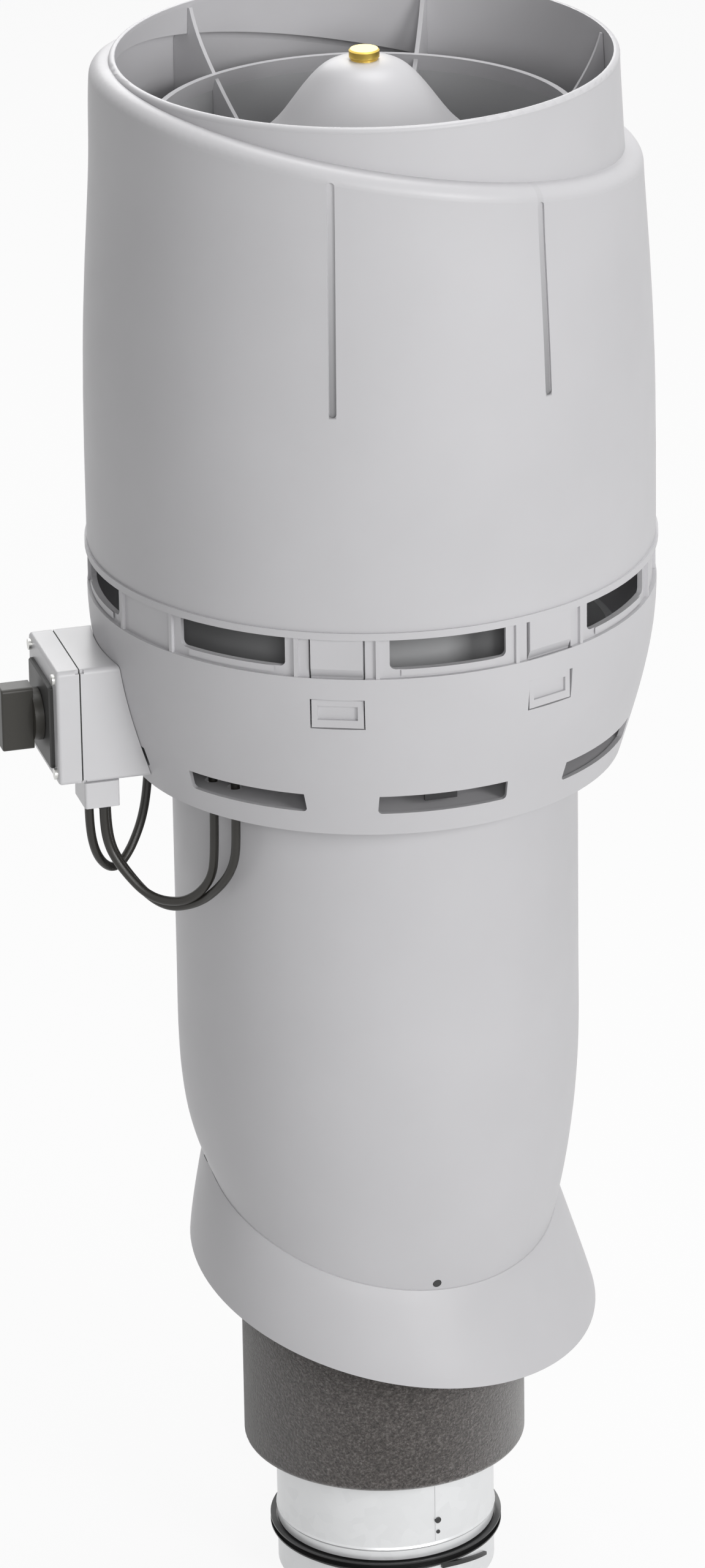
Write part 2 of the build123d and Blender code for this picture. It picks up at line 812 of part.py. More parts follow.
with BuildPart() as blades:
    for index in range(blade_count):
        start_angle = 360 / blade_count * index
        with BuildSketch(Plane.XY.offset(impeller_bottom)):
            with BuildLine():
                blade_path = ThreePointArc(
                    polar(blade_inner, start_angle)[:2],
                    polar((blade_inner + blade_outer) / 2 + 1.5, start_angle - 0.38 * blade_sweep)[:2],
                    polar(blade_outer, start_angle - blade_sweep)[:2],
                )
            trace(lines=blade_path, line_width=2)
        extrude(amount=impeller_top - impeller_bottom + 0.5)
    add(revolved(under_shroud), mode=Mode.SUBTRACT)
with BuildPart() as impeller:
    add(revolved(shroud_outside))
    add(blades.part)
    add(ring(impeller_radius, rotor_radius + 0.2, impeller_top, impeller_top + 2))
    for index in range(4):
        with BuildSketch(Plane.XY.offset(impeller_top)):
            with Locations(polar((rotor_radius + rotor_flange) / 2, 90 * index)[:2]):
                Circle(1.6)
        extrude(amount=2, mode=Mode.SUBTRACT)
save(impeller.part, "impeller")

# Rotor can: a cup that hangs in the impeller, clamped by its flange on the back plate
rotor_flange_z = impeller_top + 2
with BuildPart() as rotor_can:
    add(ring(rotor_radius, 0, rotor_bottom, rotor_top))
    fillet(rotor_can.edges().filter_by(GeomType.CIRCLE).group_by(Axis.Z)[0], 6)
    add(ring(rotor_radius - rotor_wall, 0, rotor_bottom + rotor_wall, rotor_top), mode=Mode.SUBTRACT)
    add(ring(rotor_flange, rotor_radius - rotor_wall, rotor_flange_z, rotor_flange_z + 2.5))
    add(ring(9, 0, rotor_bottom, rotor_bottom + 9))
    with BuildSketch(Plane.XY.offset(rotor_bottom + 1)):
        Circle(shaft_radius)
    extrude(amount=20, mode=Mode.SUBTRACT)
    for index in range(4):
        with BuildSketch(Plane.XY.offset(rotor_flange_z)):
            with Locations(polar((rotor_radius + rotor_flange) / 2, 90 * index)[:2]):
                Circle(1.6)
        extrude(amount=3, mode=Mode.SUBTRACT)
save(rotor_can.part, "rotor_can")

impeller_screws = screws(
    [upright((rotor_radius + rotor_flange) / 2, 90 * index, rotor_flange_z + 2.5) for index in range(4)],
    2.8,
    1.8,
    1.5,
    6,
)
save(impeller_screws, "impeller_screws")

# Shaft, bearings and stator
shaft_top = motor_flange_z + 1
with BuildPart() as motor_shaft:
    add(ring(shaft_radius, 0, rotor_bottom + 1, shaft_top))
save(motor_shaft.part, "motor_shaft")

bearing_low = rotor_bottom + 12
bearing_high = motor_flange_z - 10
with BuildPart() as motor_bearings:
    for z in (bearing_low, bearing_high):
        add(ring(bearing_radius, shaft_radius + bearing_gap, z, z + bearing_height))
save(motor_bearings.part, "motor_bearings")

tooth_count = 12
with BuildPart() as motor_stator:
    add(ring(stator_radius, bearing_radius, bearing_low, motor_flange_z - 10))
    for index in range(tooth_count):
        with BuildSketch(Plane.XY.offset(bearing_low)):
            with Locations(polar(stator_radius - 6, 360 / tooth_count * index)[:2]):
                Circle(4)
        extrude(amount=motor_flange_z - 10 - bearing_low, mode=Mode.SUBTRACT)
    add(ring(20, bearing_radius, motor_flange_z - 10, motor_flange_z))
    add(ring(motor_flange_radius, bearing_radius, motor_flange_z, ledge_z + ledge_height))
save(motor_stator.part, "motor_stator")

# Motor bracket: a plate on the motor's flange and six arms out to a ring on the housing's ledge
bracket_z = ledge_z + ledge_height
bracket_ring = housing_bore - fit_gap
with BuildPart() as motor_bracket:
    add(ring(cowl_radius, 0, bracket_z, bracket_z + 3))
    add(ring(bracket_ring, bracket_ring - ledge_width, bracket_z, bracket_z + 5))
    for index in range(vane_count):
        angle = vane_azimuth + 60 * index
        arm_length = bracket_ring - ledge_width / 2 - 50
        with BuildSketch(Plane.XY.offset(bracket_z)):
            with Locations(Location(polar(50 + arm_length / 2, angle), (0, 0, angle))):
                Rectangle(arm_length, arm_width)
        extrude(amount=3)
    for angle in bracket_angles:
        with BuildSketch(Plane.XY.offset(bracket_z)):
            with Locations(polar(ledge_screw_radius, angle)[:2]):
                Circle(1.3)
        extrude(amount=5, mode=Mode.SUBTRACT)
save(motor_bracket.part, "motor_bracket")

bracket_screws = screws(
    [upright(ledge_screw_radius, angle, bracket_z + 5) for angle in bracket_angles], 1.9, 1.4, 1.2, 10
)
save(bracket_screws, "bracket_screws")

# Cowl: a cylinder on the bracket with a bell-shaped top, held by a stud and a cap nut
cowl_foot = bracket_z + 3
cowl_shoulder = cowl_top - 56


def cowl_form(inset):
    """The cowl's outside, filled to the axis and made smaller by inset."""
    with BuildPart() as body:
        with BuildSketch(half_plane()):
            with BuildLine():
                Line((0, cowl_foot), (cowl_radius - inset, cowl_foot))
                Line((cowl_radius - inset, cowl_foot), (cowl_radius - inset, cowl_shoulder))
                Spline(
                    (cowl_radius - inset, cowl_shoulder),
                    (51.1 - inset, cowl_top - 38 - inset / 2),
                    (38.5 - inset, cowl_top - 22.3 - inset / 2),
                    (27.5 - inset, cowl_top - 8.5 - inset / 2),
                    (cowl_flat, cowl_top - inset),
                    tangents=((0, 1), (-1, 0.05)),
                )
                Line((cowl_flat, cowl_top - inset), (0, cowl_top - inset))
                Line((0, cowl_top - inset), (0, cowl_foot))
            make_face()
        revolve(axis=Axis.Z)
    return body.part


with BuildPart() as motor_cowl:
    add(cowl_form(0))
    add(cowl_form(cowl_wall), mode=Mode.SUBTRACT)
    add(ring(cowl_radius - cowl_wall, 0, cowl_foot - 1, cowl_foot + 1), mode=Mode.SUBTRACT)
    with BuildSketch(Plane.XY.offset(cowl_top - 10)):
        Circle(stud_radius + 0.2)
    extrude(amount=20, mode=Mode.SUBTRACT)
save(motor_cowl.part, "motor_cowl")

with BuildPart() as cowl_stud:
    add(ring(stud_radius, 0, cowl_foot, cowl_top + 3))
save(cowl_stud.part, "cowl_stud")

with BuildPart() as cowl_washer:
    add(ring(washer_radius, stud_radius + 0.2, cowl_top, cowl_top + washer_thickness))
save(cowl_washer.part, "cowl_washer")

cap_bottom = cowl_top + washer_thickness
with BuildPart() as cowl_nut:
    add(ring(cap_radius, 0, cap_bottom, cap_bottom + cap_height))
    chamfer(cowl_nut.edges().filter_by(GeomType.CIRCLE).group_by(Axis.Z)[-1], 0.8)
    chamfer(cowl_nut.edges().filter_by(GeomType.CIRCLE).group_by(Axis.Z)[0], 0.6)
    with BuildSketch(Plane.XY.offset(cap_bottom)):
        Circle(stud_radius)
    extrude(amount=cowl_top + 3 - cap_bottom, mode=Mode.SUBTRACT)
save(cowl_nut.part, "cowl_nut")

# Vane ring: it sits on the housing's top, with six vanes out to the hood and in to the cowl
vane_space = hood_space(fit_gap)
hub_inner = cowl_radius + fit_gap
hub_low = cowl_shoulder - 45
vane_low = hub_low + 12
with BuildPart() as vanes:
    for index in range(vane_count):
        with BuildSketch(half_plane(vane_azimuth + 360 / vane_count * index)):
            with BuildLine():
                Spline(
                    (throat_radius - throat_wall - 1.2, rim_z - 1),
                    (124, rim_z - 20),
                    (114, housing_top + 8.5),
                    (101, housing_top - 8.7),
                    (85, housing_top - 25),
                    (hub_inner + 1.5, hub_low + 22),
                )
                Polyline(
                    (hub_inner + 1.5, hub_low + 22),
                    (hub_inner + 1.5, hub_low),
                    (housing_bore - fit_gap, vane_low),
                    (housing_bore - fit_gap, housing_top),
                    (housing_radius + fit_gap, housing_top),
                    (housing_radius + fit_gap, vane_low),
                    (hood_radius, vane_low),
                    (hood_radius, rim_z - 1),
                    (throat_radius - throat_wall - 1.2, rim_z - 1),
                )
            make_face()
        extrude(amount=vane_thickness / 2, both=True)
    add(vane_space, mode=Mode.INTERSECT)
with BuildPart() as vane_ring:
    add(vanes.part)
    add(ring(hub_inner + 2.5, hub_inner, hub_low, hub_low + 22))
    add(
        revolved(
            [
                (housing_bore, housing_top),
                (housing_radius, housing_top),
                (housing_radius - 2.8, housing_top + 9.5),
                (housing_bore - 3, housing_top + 9.5),
            ]
        )
    )
save(vane_ring.part, "vane_ring")


# Switch box: body on the bowl's wall, gasket and cover
post_reach = 27.5
post_places = [(x, y) for x in (-post_reach, post_reach) for y in (-post_reach, post_reach)]
with BuildPart() as switch_box_body:
    with BuildSketch(box_plane(bowl_edge_radius - 15)):
        RectangleRounded(box_width, box_height, box_round)
    extrude(amount=box_seam - bowl_edge_radius + 15)
    add(bowl_solid(fit_gap), mode=Mode.SUBTRACT)
    with BuildSketch(box_plane(box_back)):
        RectangleRounded(box_width - 2 * box_wall, box_height - 2 * box_wall, box_round - 1)
    extrude(amount=box_seam - box_back, mode=Mode.SUBTRACT)
    with BuildSketch(box_plane(box_back - 1)):
        with Locations(*post_places):
            Circle(4)
    extrude(amount=box_seam - box_back + 1)
    with BuildSketch(box_plane(box_seam)):
        with Locations(*post_places):
            Circle(1.6)
    extrude(amount=-12, mode=Mode.SUBTRACT)
    with BuildSketch(box_plane(box_seam)):
        for x in (-box_width / 2, box_width / 2):
            for y in (-box_height / 2, box_height / 2):
                with Locations((x, y)):
                    Rectangle(notch, notch)
    extrude(amount=-notch / 2, mode=Mode.SUBTRACT)
    with BuildSketch(box_plane(box_back)):
        with Locations(*wall_screw_places):
            Circle(1.7)
    extrude(amount=-20, mode=Mode.SUBTRACT)
save(switch_box_body.part, "switch_box_body")

cover_start = box_seam + gasket
cover_end = cover_start + cover_depth
with BuildPart() as switch_box_gasket:
    with BuildSketch(box_plane(box_seam)):
        RectangleRounded(box_width - 1.6, box_height - 1.6, box_round - 0.8)
        inner_size = (box_width - 2 * box_wall, box_height - 2 * box_wall)
        RectangleRounded(*inner_size, box_round - 1, mode=Mode.SUBTRACT)
        for x in (-box_width / 2, box_width / 2):
            for y in (-box_height / 2, box_height / 2):
                with Locations((x, y)):
                    Rectangle(notch, notch, mode=Mode.SUBTRACT)
    extrude(amount=gasket)
save(switch_box_gasket.part, "switch_box_gasket")

with BuildPart() as switch_box_cover:
    with BuildSketch(box_plane(cover_start)):
        RectangleRounded(box_width, box_height, box_round)
    extrude(amount=cover_depth)
    outer_face = switch_box_cover.faces().sort_by(Axis(origin=(0, 0, 0), direction=polar(1, box_azimuth)))[-1]
    fillet(outer_face.edges(), 2)
    with BuildSketch(box_plane(cover_start)):
        RectangleRounded(box_width - 2 * box_wall, box_height - 2 * box_wall, box_round - 1)
    extrude(amount=cover_depth - box_wall, mode=Mode.SUBTRACT)
    with BuildSketch(box_plane(cover_start)):
        with Locations(*post_places):
            Circle(4)
    extrude(amount=cover_depth - 1)
    with BuildSketch(box_plane(cover_start)):
        for x in (-box_width / 2, box_width / 2):
            for y in (-box_height / 2, box_height / 2):
                with Locations((x, y)):
                    Rectangle(notch, notch)
    extrude(amount=notch / 2, mode=Mode.SUBTRACT)
    with BuildSketch(box_plane(cover_start)):
        with Locations(*post_places):
            Circle(1.7)
        with Locations((0, plate_z - box_z)):
            Circle(knob_shaft_radius + 1)
    extrude(amount=cover_depth, mode=Mode.SUBTRACT)
save(switch_box_cover.part, "switch_box_cover")


def box_place(x, y, outward):
    """A plane square to the box's face, centred on a point of that face."""
    plane = box_plane(outward)
    return Plane(origin=plane.from_local_coords((x, y, 0)), x_dir=plane.x_dir, z_dir=plane.z_dir)


cover_screws = screws([box_place(x, y, cover_end) for x, y in post_places], 3.1, 1.6, 1.5, 22)
save(cover_screws, "cover_screws")

box_screws = screws([box_place(x, y, box_back) for x, y in wall_screw_places], 3.3, 2, 1.5, 9)
save(box_screws, "box_screws")

with BuildPart() as switch_plate:
    with BuildSketch(box_plane(cover_end, plate_z)):
        RectangleRounded(plate_size, plate_size, 2)
        Circle(knob_shaft_radius + knob_gap, mode=Mode.SUBTRACT)
    extrude(amount=plate_thickness)
    front = switch_plate.faces().sort_by(Axis(origin=(0, 0, 0), direction=polar(1, box_azimuth)))[-1]
    chamfer(front.outer_wire().edges(), 0.8)
save(switch_plate.part, "switch_plate")

knob_start = cover_end + plate_thickness + fit_gap
with BuildPart() as switch_knob:
    with BuildSketch(box_plane(knob_start, plate_z)):
        Circle(hub_radius)
    extrude(amount=hub_height)
    with BuildSketch(box_plane(knob_start + hub_height - 0.5, plate_z)):
        RectangleRounded(handle_width, handle_length, 2)
    extrude(amount=handle_height + 0.5)
    end_face = switch_knob.faces().sort_by(Axis(origin=(0, 0, 0), direction=polar(1, box_azimuth)))[-1]
    fillet(end_face.edges(), 1.2)
    with BuildSketch(box_plane(knob_start, plate_z)):
        Circle(knob_shaft_radius)
    extrude(amount=hub_height + 4, mode=Mode.SUBTRACT)
save(switch_knob.part, "switch_knob")

block_end = box_back + block_depth
with BuildPart() as knob_shaft:
    with BuildSketch(box_plane(box_back + 4, plate_z)):
        Circle(knob_shaft_radius)
    extrude(amount=knob_start + hub_height + 4 - box_back - 4)
save(knob_shaft.part, "knob_shaft")

with BuildPart() as switch_block:
    with BuildSketch(box_plane(box_back, plate_z)):
        RectangleRounded(block_side, block_side, 1.5)
    extrude(amount=block_depth)
    with BuildSketch(box_plane(box_back + 3, plate_z)):
        Circle(knob_shaft_radius + fit_gap)
    extrude(amount=block_depth, mode=Mode.SUBTRACT)
    with BuildSketch(box_plane(box_back + 6, plate_z)):
        for y in (-block_side / 2, block_side / 2):
            for x in (-9, 0, 9):
                with Locations((x, y)):
                    Rectangle(5, 6)
    extrude(amount=block_depth, mode=Mode.SUBTRACT)
save(switch_block.part, "switch_block")


# Gland block and cables. Each route starts at its grommet and ends under the deck.
def box_point(across, outward):
    """Plan position of a point of the switch box."""
    x_out, y_out, _ = polar(outward, box_azimuth)
    x_side, y_side, _ = polar(across, box_azimuth + 90)
    return (x_out + x_side, y_out + y_side)


cable_starts = {
    "cable_a": (-156.3, -63.3),
    "cable_b": (-148.2, -65.4),
    "cable_c": (-147.1, -56.8),
}
box_bottom = box_z - box_height / 2
with BuildPart() as gland_block:
    with BuildSketch(Plane.XY.offset(gland_low)):
        gland_middle = box_point(gland_front - gland_width / 2, (gland_inner + gland_outer) / 2)
        with Locations(Location((*gland_middle, 0), (0, 0, box_azimuth))):
            RectangleRounded(gland_outer - gland_inner, gland_width, 1.5)
    extrude(amount=box_bottom - gland_low)
    for x, y in cable_starts.values():
        with BuildSketch(Plane.XY.offset(gland_low)):
            with Locations((x, y)):
                Circle(cable_radius)
        extrude(amount=8, mode=Mode.SUBTRACT)
save(gland_block.part, "gland_block")


def grommets(places, wide_z, narrow_z):
    """Tapered strain reliefs, wide where they are held and narrow where the cable leaves."""
    with BuildPart() as body:
        for x, y in places:
            with BuildSketch(Plane.XY.offset(wide_z)):
                with Locations((x, y)):
                    Circle(grommet_radius)
            with BuildSketch(Plane.XY.offset(narrow_z)):
                with Locations((x, y)):
                    Circle(cable_radius + 0.4)
            loft()
    return body.part


cable_start_z = gland_low - box_grommet
cable_end_z = pipe_top - deck_grommet
box_cable_grommets = grommets(cable_starts.values(), gland_low, cable_start_z)
save(box_cable_grommets, "box_cable_grommets")
deck_cable_grommets = grommets(cable_ends.values(), pipe_top, cable_end_z)
save(deck_cable_grommets, "deck_cable_grommets")

cable_routes = {
    "cable_a": [
        (-156.3, -63.3, cable_start_z),
        (-156.3, -63.3, 487.5),
        (-154.6, -61.6, 473.4),
        (-151.1, -57.9, 463.2),
        (-145.8, -52.4, 456.4),
        (-140.7, -47.0, 456.5),
        (-137.1, -43.2, 460.3),
        (-133.7, -39.6, 465.6),
        (-129.8, -35.6, 474.6),
        (-127.4, -33.1, 483.3),
        (-125.7, -31.3, 493.5),
        (-124.3, -29.9, 509),
        (-123.5, -29.0, 535.5),
        (-123.5, -29.0, cable_end_z),
    ],
    "cable_b": [
        (-148.2, -65.4, cable_start_z),
        (-148.2, -65.4, 487.6),
        (-146.2, -66.1, 475.8),
        (-141.9, -67.7, 467.3),
        (-135.6, -70.0, 459.1),
        (-127.9, -72.8, 451.3),
        (-120.1, -75.7, 447.6),
        (-111.7, -78.7, 447.1),
        (-104.3, -81.4, 448.9),
        (-97.5, -83.9, 453.8),
        (-92.3, -85.8, 460.4),
        (-89.3, -86.9, 467.5),
        (-88.2, -87.3, 475.6),
        (-87.7, -87.5, 489.5),
        (-87.5, -87.6, 512),
        (-88.0, -87.4, 537),
        (-88.0, -87.4, cable_end_z),
    ],
    "cable_c": [
        (-147.1, -56.8, cable_start_z),
        (-147.1, -56.8, 486.4),
        (-145.2, -57.8, 472.8),
        (-140.7, -60.4, 464.1),
        (-134.1, -64.3, 455.9),
        (-126.9, -67.0, 447.9),
        (-119.2, -70.7, 443.2),
        (-111.3, -73.9, 441.8),
        (-102.2, -77.8, 444.6),
        (-94.2, -82.0, 449.7),
        (-86.7, -90.0, 459.1),
        (-80.8, -95.2, 468.6),
        (-77.3, -97.2, 477.3),
        (-75.9, -98.0, 486.1),
        (-75.6, -98.2, 501.2),
        (-75.4, -98.4, 518),
        (-75.8, -98.1, 540),
        (-75.8, -98.1, cable_end_z),
    ],
}


def corner_radii(points):
    """Radius of the arc at each corner of a route, from its two runs and its turn."""
    radii = []
    for before, here, after in zip(points, points[1:], points[2:]):
        run_in = Vector(*here) - Vector(*before)
        run_out = Vector(*after) - Vector(*here)
        half_turn = radians(run_in.get_angle(run_out)) / 2
        radii.append(0.45 * min(run_in.length, run_out.length) / tan(half_turn))
    return radii


def cable(points):
    """A round cable along straight runs joined by tangent arcs."""
    with BuildPart() as body:
        with BuildLine() as path:
            FilletPolyline(*points, radius=corner_radii(points))
        with BuildSketch(Plane(origin=path.line @ 0, z_dir=path.line % 0)):
            Circle(cable_radius)
        sweep()
    return body.part, path.wires()[0].length


for name, points in cable_routes.items():
    tube, length = cable(points)
    section = pi * cable_radius**2
    print(name, "length", round(length, 1), "volume share", round(tube.volume / (section * length), 4))
    print(name, "radii", [round(radius, 1) for radius in corner_radii(points)])
    save(tube, name)
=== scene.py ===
# Roof exhaust fan: looks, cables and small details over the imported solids. Everything is in metres, with
# +Z up along the fan's axis, -Y towards the camera and the duct's lower end at height 0.

import json
from math import cos, radians, sin

import bpy
from mathutils import Matrix, Vector


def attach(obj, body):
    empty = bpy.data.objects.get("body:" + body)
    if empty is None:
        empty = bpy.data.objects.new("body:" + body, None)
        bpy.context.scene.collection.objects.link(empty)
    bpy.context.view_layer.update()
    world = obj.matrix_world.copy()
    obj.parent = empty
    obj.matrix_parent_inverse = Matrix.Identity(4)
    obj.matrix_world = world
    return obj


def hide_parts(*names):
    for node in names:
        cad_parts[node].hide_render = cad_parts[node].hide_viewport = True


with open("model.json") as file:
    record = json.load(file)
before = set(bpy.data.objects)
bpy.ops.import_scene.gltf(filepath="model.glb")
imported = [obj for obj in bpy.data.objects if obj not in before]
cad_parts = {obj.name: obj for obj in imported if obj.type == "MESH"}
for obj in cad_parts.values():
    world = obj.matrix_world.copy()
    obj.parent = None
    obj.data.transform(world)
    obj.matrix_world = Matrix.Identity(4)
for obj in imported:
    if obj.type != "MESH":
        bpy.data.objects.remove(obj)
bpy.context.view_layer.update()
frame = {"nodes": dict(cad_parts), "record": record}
nodes = frame["nodes"]

# Camera, fitted to the photograph's perspective: degrees, metres, and millimetres for the lens
CAMERA_YAW, CAMERA_PITCH, CAMERA_ROLL = -0.18634, 22.89318, 0.92671
CAMERA_PLACE = (0, -3.83394, 2.10109)
CAMERA_LENS, CAMERA_SENSOR = 172.28, 36

# Painted shade in the grooves of the hood, above its snap legs
GROOVE_ANGLES = (-97.2, -52.2, 82.8, 127.8)
GROOVE_FOOT, GROOVE_FADE = 0.754, 0.875
GROOVE_HALF_WIDTH = 0.0021
GROOVE_FLOOR = 0.14  # distance from the axis, inside the grooves and outside the outlet
GROOVE_EDGE, GROOVE_END = 0.0004, 0.001  # widths of the soft ends of the shade
# Painted shade: the share of the dark shade colour mixed in at a groove's foot, fading to none higher up
GROOVE_PAINTED_DARKNESS = 0.62
GROOVE_PAINTED_SHADE = (0.09, 0.09, 0.093, 1)

# Trim on the duct: each distance is from the fan's axis
SEAM_ANGLE = -62
RIVET_LOW, RIVET_HIGH, RIVET_TOP = 0.0626, 0.0636, 0.0638
RIVET_SIDES = 16
STRAP_INSIDE, STRAP_OUTSIDE, STRAP_HEIGHT = 0.0624, 0.0642, 0.0032
STRAP_STEPS = 24

CABLE_DIAMETER = 0.005

FLOOR_HALF, FLOOR_Z = 6, -0.0004
FLOOR_WHITE = 0.9  # how far the floor shows plain white to the camera; the rest keeps the shadow


def polar(radius, azimuth, z=0.0):
    """A point given by its distance from the fan's axis and its azimuth in degrees."""
    return Vector((radius * cos(radians(azimuth)), radius * sin(radians(azimuth)), z))


def link(obj):
    """Put an object in the scene."""
    bpy.context.scene.collection.objects.link(obj)


# Camera
yaw, pitch, roll = radians(CAMERA_YAW), radians(CAMERA_PITCH), radians(CAMERA_ROLL)
forward = Vector((sin(yaw) * cos(pitch), cos(yaw) * cos(pitch), -sin(pitch)))
level_right = Vector((cos(yaw), -sin(yaw), 0))
level_down = forward.cross(level_right)
right = level_right * cos(roll) + level_down * sin(roll)
down = level_down * cos(roll) - level_right * sin(roll)

camera_data = bpy.data.cameras.new("camera")
camera_data.sensor_width = CAMERA_SENSOR
camera_data.lens = CAMERA_LENS
camera_data.clip_end = 50
camera = bpy.data.objects.new("camera", camera_data)
link(camera)
turn = Matrix((right, -down, -forward)).transposed()
camera.matrix_world = Matrix.Translation(CAMERA_PLACE) @ turn.to_4x4()
bpy.context.scene.camera = camera
bpy.context.scene.view_settings.view_transform = "Standard"


# Node helpers
def new_material(name):
    """A material with its tree and its Principled shader."""
    material = bpy.data.materials.new(name)
    material.use_nodes = True
    tree = material.node_tree
    return material, tree, tree.nodes["Principled BSDF"]


def object_space(tree):
    """Coordinates of the rest shape, in metres."""
    return tree.nodes.new("ShaderNodeTexCoord").outputs["Object"]


def noise(tree, scale, detail=2.0, roughness=0.5, stretch=None):
    """Noise over the rest shape; stretch scales the axes."""
    vector = object_space(tree)
    if stretch:
        mapping = tree.nodes.new("ShaderNodeMapping")
        mapping.inputs["Scale"].default_value = stretch
        tree.links.new(vector, mapping.inputs["Vector"])
        vector = mapping.outputs["Vector"]
    texture = tree.nodes.new("ShaderNodeTexNoise")
    texture.inputs["Scale"].default_value = scale
    texture.inputs["Detail"].default_value = detail
    texture.inputs["Roughness"].default_value = roughness
    tree.links.new(vector, texture.inputs["Vector"])
    return texture.outputs["Fac"]


def ramp(tree, factor, *stops):
    """Colour ramp from (position, colour) stops."""
    node = tree.nodes.new("ShaderNodeValToRGB")
    elements = node.color_ramp.elements
    while len(elements) < len(stops):
        elements.new(0.5)
    for element, (position, color) in zip(elements, stops):
        element.position = position
        element.color = (*color, 1)
    tree.links.new(factor, node.inputs["Fac"])
    return node.outputs["Color"]


def value_range(tree, factor, low, high, from_low=0.0, from_high=1.0):
    """A factor mapped to low and high, and held there outside its own range."""
    node = tree.nodes.new("ShaderNodeMapRange")
    node.inputs["From Min"].default_value = from_low
    node.inputs["From Max"].default_value = from_high
    node.inputs["To Min"].default_value = low
    node.inputs["To Max"].default_value = high
    tree.links.new(factor, node.inputs["Value"])
    return node.outputs["Result"]


def calculate(tree, operation, first, second=None):
    """One math node on one or two values."""
    node = tree.nodes.new("ShaderNodeMath")
    node.operation = operation
    tree.links.new(first, node.inputs[0])
    if second:
        tree.links.new(second, node.inputs[1])
    return node.outputs["Value"]


def along(tree, direction):
    """Distance of a point of the rest shape from the origin, along a direction."""
    node = tree.nodes.new("ShaderNodeVectorMath")
    node.operation = "DOT_PRODUCT"
    node.inputs[1].default_value = direction
    tree.links.new(object_space(tree), node.inputs[0])
    return node.outputs["Value"]


def bump(tree, shader, height, strength, distance=0.0002):
    """Bump on a shader, from a height."""
    node = tree.nodes.new("ShaderNodeBump")
    node.inputs["Strength"].default_value = strength
    node.inputs["Distance"].default_value = distance
    tree.links.new(height, node.inputs["Height"])
    tree.links.new(node.outputs["Normal"], shader.inputs["Normal"])


def shade(color, factor):
    """A colour made lighter or darker."""
    return tuple(min(1, channel * factor) for channel in color)


def clouded(tree, shader, factor, color, low, high, darker, lighter):
    """A base colour that varies a little with a factor: each stop is a place and a share of the colour."""
    tone = ramp(tree, factor, (low, shade(color, darker)), (high, shade(color, lighter)))
    tree.links.new(tone, shader.inputs["Base Color"])


def varied_roughness(tree, shader, factor, roughness, spread):
    """Roughness that varies around its middle value."""
    value = value_range(tree, factor, roughness - spread, roughness + spread)
    tree.links.new(value, shader.inputs["Roughness"])


# Materials
def plastic(name, color, roughness, grain=0.06):
    """Moulded plastic: an even colour with a faint cloudiness and a fine grain."""
    material, tree, shader = new_material(name)
    clouded(tree, shader, noise(tree, 9, 3), color, 0.3, 0.7, 0.97, 1.03)
    varied_roughness(tree, shader, noise(tree, 60), roughness, 0.04)
    bump(tree, shader, noise(tree, 1800), grain)
    return material


def metal(name, color, roughness, spread=0.1, stretch=None):
    """Sheet or turned metal with faint streaks."""
    material, tree, shader = new_material(name)
    shader.inputs["Metallic"].default_value = 1
    streaks = noise(tree, 40, 4, 0.6, stretch)
    clouded(tree, shader, streaks, color, 0.25, 0.75, 0.9, 1.1)
    varied_roughness(tree, shader, streaks, roughness, spread)
    return material


def galvanised(name):
    """Galvanised sheet: pale, with soft spangle."""
    material, tree, shader = new_material(name)
    shader.inputs["Metallic"].default_value = 0.35
    cells = tree.nodes.new("ShaderNodeTexVoronoi")
    cells.inputs["Scale"].default_value = 130
    tree.links.new(object_space(tree), cells.inputs["Vector"])
    split = tree.nodes.new("ShaderNodeSeparateColor")
    tree.links.new(cells.outputs["Color"], split.inputs["Color"])
    spangle = split.outputs["Red"]
    tone = ramp(tree, spangle, (0.0, (0.80, 0.808, 0.815)), (1.0, (0.835, 0.843, 0.85)))
    tree.links.new(tone, shader.inputs["Base Color"])
    tree.links.new(value_range(tree, spangle, 0.3, 0.36), shader.inputs["Roughness"])
    return material


def foam(name):
    """Dark foam: fine pores and a dusty tint."""
    material, tree, shader = new_material(name)
    pores = noise(tree, 640, 5, 0.7)
    tone = ramp(
        tree,
        pores,
        (0.36, (0.026, 0.023, 0.021)),
        (0.52, (0.078, 0.068, 0.063)),
        (0.72, (0.22, 0.203, 0.195)),
    )
    tree.links.new(tone, shader.inputs["Base Color"])
    shader.inputs["Roughness"].default_value = 0.95
    shader.inputs["Specular IOR Level"].default_value = 0.15
    shader.inputs["Sheen Weight"].default_value = 0.9
    bump(tree, shader, pores, 0.8, 0.001)
    return material


def rubber(name, color, roughness):
    """Rubber or cable sheath."""
    material, tree, shader = new_material(name)
    clouded(tree, shader, noise(tree, 30, 3), color, 0.3, 0.7, 0.85, 1.2)
    varied_roughness(tree, shader, noise(tree, 140), roughness, 0.05)
    bump(tree, shader, noise(tree, 900), 0.05)
    return material


